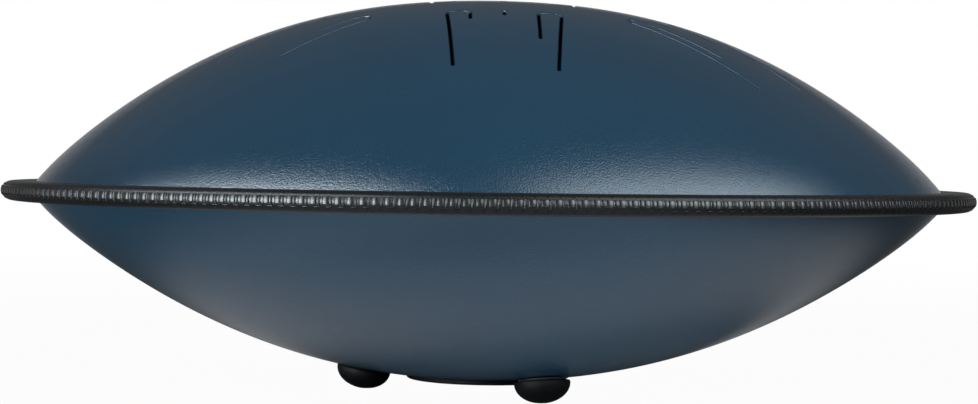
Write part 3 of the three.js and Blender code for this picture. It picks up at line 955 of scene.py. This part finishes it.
def edging_profile(shell, rubber):
    """Section of the rubber edging that grips the sheet round the sound hole."""
    dome = lower_dome(shell)
    hole, reach = shell.hole_radius, shell.hole_radius + rubber.reach
    channel = hole - rubber.clearance
    bore = channel - rubber.web

    def outer_face(radius):
        return dome.height(radius) + rubber.clearance

    def inner_face(radius):
        return dome.inside(radius, shell.sheet) - rubber.clearance

    def corner(radius, height, first):
        turns = first + np.pi / 2 * np.arange(CORNER_STEPS + 1) / CORNER_STEPS
        return list(zip(radius + rubber.edge * np.cos(turns), height + rubber.edge * np.sin(turns)))

    low = outer_face(hole) + rubber.lip - rubber.edge
    high = inner_face(hole) - rubber.lip + rubber.edge
    points = [
        (channel, inner_face(hole)),
        (channel, outer_face(hole)),
        (reach, outer_face(reach)),
        *corner(reach - rubber.edge, low, 0),
        *corner(bore + rubber.edge, low, np.pi / 2),
        *corner(bore + rubber.edge, high, np.pi),
        *corner(reach - rubber.edge, high, 1.5 * np.pi),
        (reach, inner_face(reach)),
    ]
    return [(radius, RIM_HEIGHT - height) for radius, height in points]


def foot_mesh(shell, rubber, index):
    """A domed foot square to the shell, with a flat where it stands."""
    dome = lower_dome(shell)
    tilt = math.atan(dome.slope(rubber.foot_circle))
    seat_height = RIM_HEIGHT - dome.height(rubber.foot_circle)
    middle = rubber.foot_base + rubber.foot_skirt
    drop = seat_height - middle * math.cos(tilt) + rubber.foot_flat
    depth = math.sqrt(drop ** 2 - (rubber.foot_radius * math.sin(tilt)) ** 2) / math.cos(tilt)
    lip = rubber.foot_skirt * FOOT_LIP
    turns = np.pi / 2 * np.arange(FOOT_ARC_STEPS) / FOOT_ARC_STEPS
    profile = [(rubber.foot_radius - lip, rubber.foot_base), (rubber.foot_radius, rubber.foot_base + lip)]
    profile += [(rubber.foot_radius * math.cos(turn), middle + depth * math.sin(turn)) for turn in turns]
    points, faces = spun(profile, FOOT_STEPS, rubber.foot_base, middle + depth)
    bearing = rubber.foot_turn + 2 * math.pi * index / rubber.foot_count
    away = Vector((math.sin(bearing), -math.cos(bearing), 0))
    normal = Vector((away.x * math.sin(tilt), away.y * math.sin(tilt), -math.cos(tilt)))
    turned = Vector((0, 0, 1)).rotation_difference(normal)
    seat = away * rubber.foot_circle + Vector((0, 0, seat_height))
    placed = [seat + turned @ Vector(point) for point in points]
    for point in placed:
        point.z = max(point.z, 0.0)
    mesh = solid_of(f"foot_{index + 1}_skin", placed, faces)
    soften(mesh)
    return mesh


class DRUM_OT_top_shell(bpy.types.Operator):
    """Build the upper dome with its tongues"""

    bl_idname = "drum.top_shell"
    bl_label = "Upper Shell"

    def execute(self, context):
        drum = context.scene.drum
        install("top_shell", top_shell_mesh(drum.shell, drum.tongues), "shell_paint")
        return {"FINISHED"}


class DRUM_OT_bottom_shell(bpy.types.Operator):
    """Build the lower dome with its sound hole"""

    bl_idname = "drum.bottom_shell"
    bl_label = "Lower Shell"

    def execute(self, context):
        start = bpy.data.meshes.new("bottom_shell_start")
        mesh = grown(start, bowl_tree(context.scene.drum.shell))
        soften(mesh)
        install("bottom_shell", mesh, "shell_paint")
        return {"FINISHED"}


class DRUM_OT_rim_trim(bpy.types.Operator):
    """Build the embossed trim round the rim"""

    bl_idname = "drum.rim_trim"
    bl_label = "Rim Trim"

    def execute(self, context):
        drum = context.scene.drum
        opening = drum.trim.seam / TRIM_RADIUS
        profile = trim_profile(drum.shell, drum.trim)
        base = solid_of("rim_trim_base", *revolve(profile, TRIM_STEPS, opening))
        unit = new_object("emboss_unit", emboss_unit(drum.trim))
        mesh = grown(base, trim_tree(drum.trim, unit))
        bpy.data.objects.remove(unit)
        soften(mesh)
        install("rim_trim", mesh, "rim_trim")
        return {"FINISHED"}


class DRUM_OT_hole_edging(bpy.types.Operator):
    """Build the rubber edging of the sound hole"""

    bl_idname = "drum.hole_edging"
    bl_label = "Sound Hole Edging"

    def execute(self, context):
        drum = context.scene.drum
        profile = edging_profile(drum.shell, drum.rubber)
        mesh = solid_of("sound_hole_edging_skin", *revolve(profile, EDGING_STEPS))
        soften(mesh)
        install("sound_hole_edging", mesh, "rubber")
        return {"FINISHED"}


class DRUM_OT_feet(bpy.types.Operator):
    """Build the domed rubber feet"""

    bl_idname = "drum.feet"
    bl_label = "Feet"

    def execute(self, context):
        drum = context.scene.drum
        for index in range(drum.rubber.foot_count):
            install(f"foot_{index + 1}", foot_mesh(drum.shell, drum.rubber, index), "rubber")
        return {"FINISHED"}


class DRUM_OT_inner_pieces(bpy.types.Operator):
    """Give the bond, the trim's clip and the foot pads their materials"""

    bl_idname = "drum.inner_pieces"
    bl_label = "Inner Pieces"

    def execute(self, context):
        dressed = {"flange_bond": "adhesive", "rim_trim_clip": "clip_steel"}
        for index in range(context.scene.drum.rubber.foot_count):
            dressed[f"foot_pad_{index + 1}"] = "adhesive"
        for node, slot in dressed.items():
            dress(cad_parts[node].data, slot)
        return {"FINISHED"}


def stage_material():
    """Plain white that shows as white to the camera and still takes the drum's shadow; beside the drum the
    floor is painted darker as shade, and round its shadow a painted glow shows in reflections.
    """
    made = bpy.data.materials.new("stage_white")
    made.use_nodes = True
    graph = Graph(made.node_tree)
    made.node_tree.nodes.clear()
    paths = graph.node("ShaderNodeLightPath").outputs
    place = graph.node("ShaderNodeTexCoord").outputs["Object"]
    far = graph.remap(graph.length(place), NEAR_RADIUS, FAR_RADIUS)
    sideways = graph.math("ABSOLUTE", graph.node("ShaderNodeSeparateXYZ", {0: place}).outputs["X"])
    # Painted shade: the floor is darker on both sides of the drum, which reflections and bounced light
    # pick up
    painted_side_shade = graph.remap(sideways, SIDE_SHADE_START, SIDE_SHADE_END, curve="SMOOTHSTEP")
    painted_side_shade = graph.math("MULTIPLY", painted_side_shade, graph.math("SUBTRACT", 1.0, far))
    grey = graph.remap(painted_side_shade, 0.0, 1.0, FLOOR_WHITE, FLOOR_SIDE_SHADE)
    shown = graph.math("MULTIPLY", paths["Is Camera Ray"], graph.remap(far, 0.0, 1.0, NEAR_GLOW, 1.0))
    by_mirror = graph.math("MAXIMUM", paths["Is Glossy Ray"], paths["Is Transmission Ray"])
    # Painted reflection: a ring of floor round the drum's shadow glows, seen only in the drum's
    # reflections
    start, full, fading, end = PAINTED_REFLECTION_RING
    shifted = graph.node(
        "ShaderNodeVectorMath", {0: place, 1: MIRROR_SCALE, 2: MIRROR_SHIFT}, operation="MULTIPLY_ADD"
    )
    reach = graph.length(shifted.outputs["Vector"])
    ring = graph.math(
        "MULTIPLY",
        graph.remap(reach, start, full, 0.0, PAINTED_REFLECTION_GLOW, "SMOOTHSTEP"),
        graph.remap(reach, fading, end, 1.0, 0.0, "SMOOTHSTEP"),
    )
    distant = graph.math("MULTIPLY", far, MIRROR_FAR)
    mirrored = graph.math("MULTIPLY", by_mirror, graph.math("MAXIMUM", distant, ring))
    share = graph.math("MAXIMUM", shown, mirrored)
    tint = graph.blend(paths["Is Camera Ray"], scaled(MIRROR_COLOUR), scaled(WHITE))
    glow = graph.node("ShaderNodeEmission", {"Color": tint, "Strength": 1.0})
    plain = graph.node("ShaderNodeBsdfDiffuse", {"Color": grey})
    mixed = graph.node("ShaderNodeMixShader", {0: share, 1: plain.outputs[0], 2: glow.outputs[0]})
    graph.node("ShaderNodeOutputMaterial", {"Surface": mixed.outputs[0]})
    return made


def stage_mesh():
    """Round floor that curves up into a low wall, seen from inside."""
    turns = np.pi / 2 * np.arange(COVE_STEPS + 1) / COVE_STEPS
    cove = zip(FLOOR_RADIUS + COVE_RADIUS * np.sin(turns), COVE_RADIUS * (1 - np.cos(turns)))
    profile = [(FLOOR_RADIUS / 2, 0.0), *cove, (FLOOR_RADIUS + COVE_RADIUS, WALL_HEIGHT)]
    lowered = [(radius, height - FLOOR_DROP) for radius, height in profile]
    mesh = mesh_of("stage", *spun(lowered, STAGE_STEPS, -FLOOR_DROP))
    mesh.flip_normals()
    mesh.shade_smooth()
    return mesh


def add_softbox(settings, power, place, turn, tilt, size, shown_by):
    """An area lamp that the camera doesn't see."""
    lamp = bpy.data.lights.new(power.replace("power", "softbox"), "AREA")
    lamp.shape = "RECTANGLE"
    lamp.size, lamp.size_y = size
    lamp.energy = getattr(settings, power)
    lamp.color = LAMP_COLOUR
    if shown_by == "gloss":
        lamp.spread = CARD_SPREAD
    softbox = new_object(lamp.name, lamp)
    softbox.location = place
    softbox.rotation_euler = (math.radians(tilt), 0.0, math.radians(turn))
    softbox.visible_camera = False
    softbox.visible_diffuse = shown_by != "gloss"
    softbox.visible_glossy = shown_by != "matt"


def room_light(settings):
    """A world that lights evenly from all sides."""
    world = bpy.data.worlds.new("studio")
    world.use_nodes = True
    background = world.node_tree.nodes["Background"]
    background.inputs["Color"].default_value = scaled(WHITE)
    background.inputs["Strength"].default_value = settings.ambient
    return world


def add_camera(settings):
    """A camera in front of the drum, at the photo's height and angle."""
    camera = new_object("camera", bpy.data.cameras.new("camera"))
    camera.data.lens = settings.lens
    camera.data.clip_end = CAMERA_REACH
    place = Matrix.Translation((0, -settings.distance, settings.height))
    yaw = Matrix.Rotation(settings.yaw, 4, "Z")
    pitch = Matrix.Rotation(math.pi / 2 - settings.pitch, 4, "X")
    roll = Matrix.Rotation(settings.roll, 4, "Z")
    camera.matrix_world = place @ yaw @ pitch @ roll
    return camera


class DRUM_OT_stage(bpy.types.Operator):
    """Set up the floor, the lamps and the camera"""

    bl_idname = "drum.stage"
    bl_label = "Stage"

    def execute(self, context):
        scene = context.scene
        settings = scene.drum.stage
        mesh = stage_mesh()
        mesh.materials.append(stage_material())
        new_object("stage", mesh)
        for softbox in SOFTBOXES:
            add_softbox(settings, *softbox)
        scene.world = room_light(settings)
        scene.camera = add_camera(settings)
        scene.view_settings.view_transform = "Standard"
        return {"FINISHED"}


class DRUM_PT_sidebar(bpy.types.Panel):
    """Settings and build buttons of the drum"""

    bl_label = "Steel Tongue Drum"
    bl_space_type = "VIEW_3D"
    bl_region_type = "UI"
    bl_category = "Drum"

    def draw(self, context):
        layout = self.layout
        drum = context.scene.drum
        for group in (drum.shell, drum.tongues, drum.trim, drum.rubber, drum.finish, drum.stage):
            box = layout.box()
            box.label(text=group.bl_rna.description)
            for name in group.bl_rna.properties.keys():
                if name not in ("rna_type", "name"):
                    box.prop(group, name)
        for operator in OPERATORS:
            layout.operator(operator.bl_idname)


SETTINGS = (
    DrumShellSettings,
    DrumTongueSettings,
    DrumTrimSettings,
    DrumRubberSettings,
    DrumFinishSettings,
    DrumStageSettings,
    DrumSettings,
)
OPERATORS = (
    DRUM_OT_top_shell,
    DRUM_OT_bottom_shell,
    DRUM_OT_rim_trim,
    DRUM_OT_hole_edging,
    DRUM_OT_feet,
    DRUM_OT_inner_pieces,
    DRUM_OT_stage,
)
CLASSES = (*SETTINGS, *OPERATORS, DRUM_PT_sidebar)


def register():
    for cls in CLASSES:
        bpy.utils.register_class(cls)
    bpy.types.Scene.drum = group_prop("Drum", "Settings of the tongue drum", DrumSettings)


def unregister():
    del bpy.types.Scene.drum
    for cls in reversed(CLASSES):
        bpy.utils.unregister_class(cls)


def main():
    """Builds the drum on its stage."""
    register()
    bpy.ops.drum.top_shell()
    bpy.ops.drum.bottom_shell()
    bpy.ops.drum.rim_trim()
    bpy.ops.drum.hole_edging()
    bpy.ops.drum.feet()
    bpy.ops.drum.inner_pieces()
    bpy.ops.drum.stage()


if __name__ == "__main__":
    main()
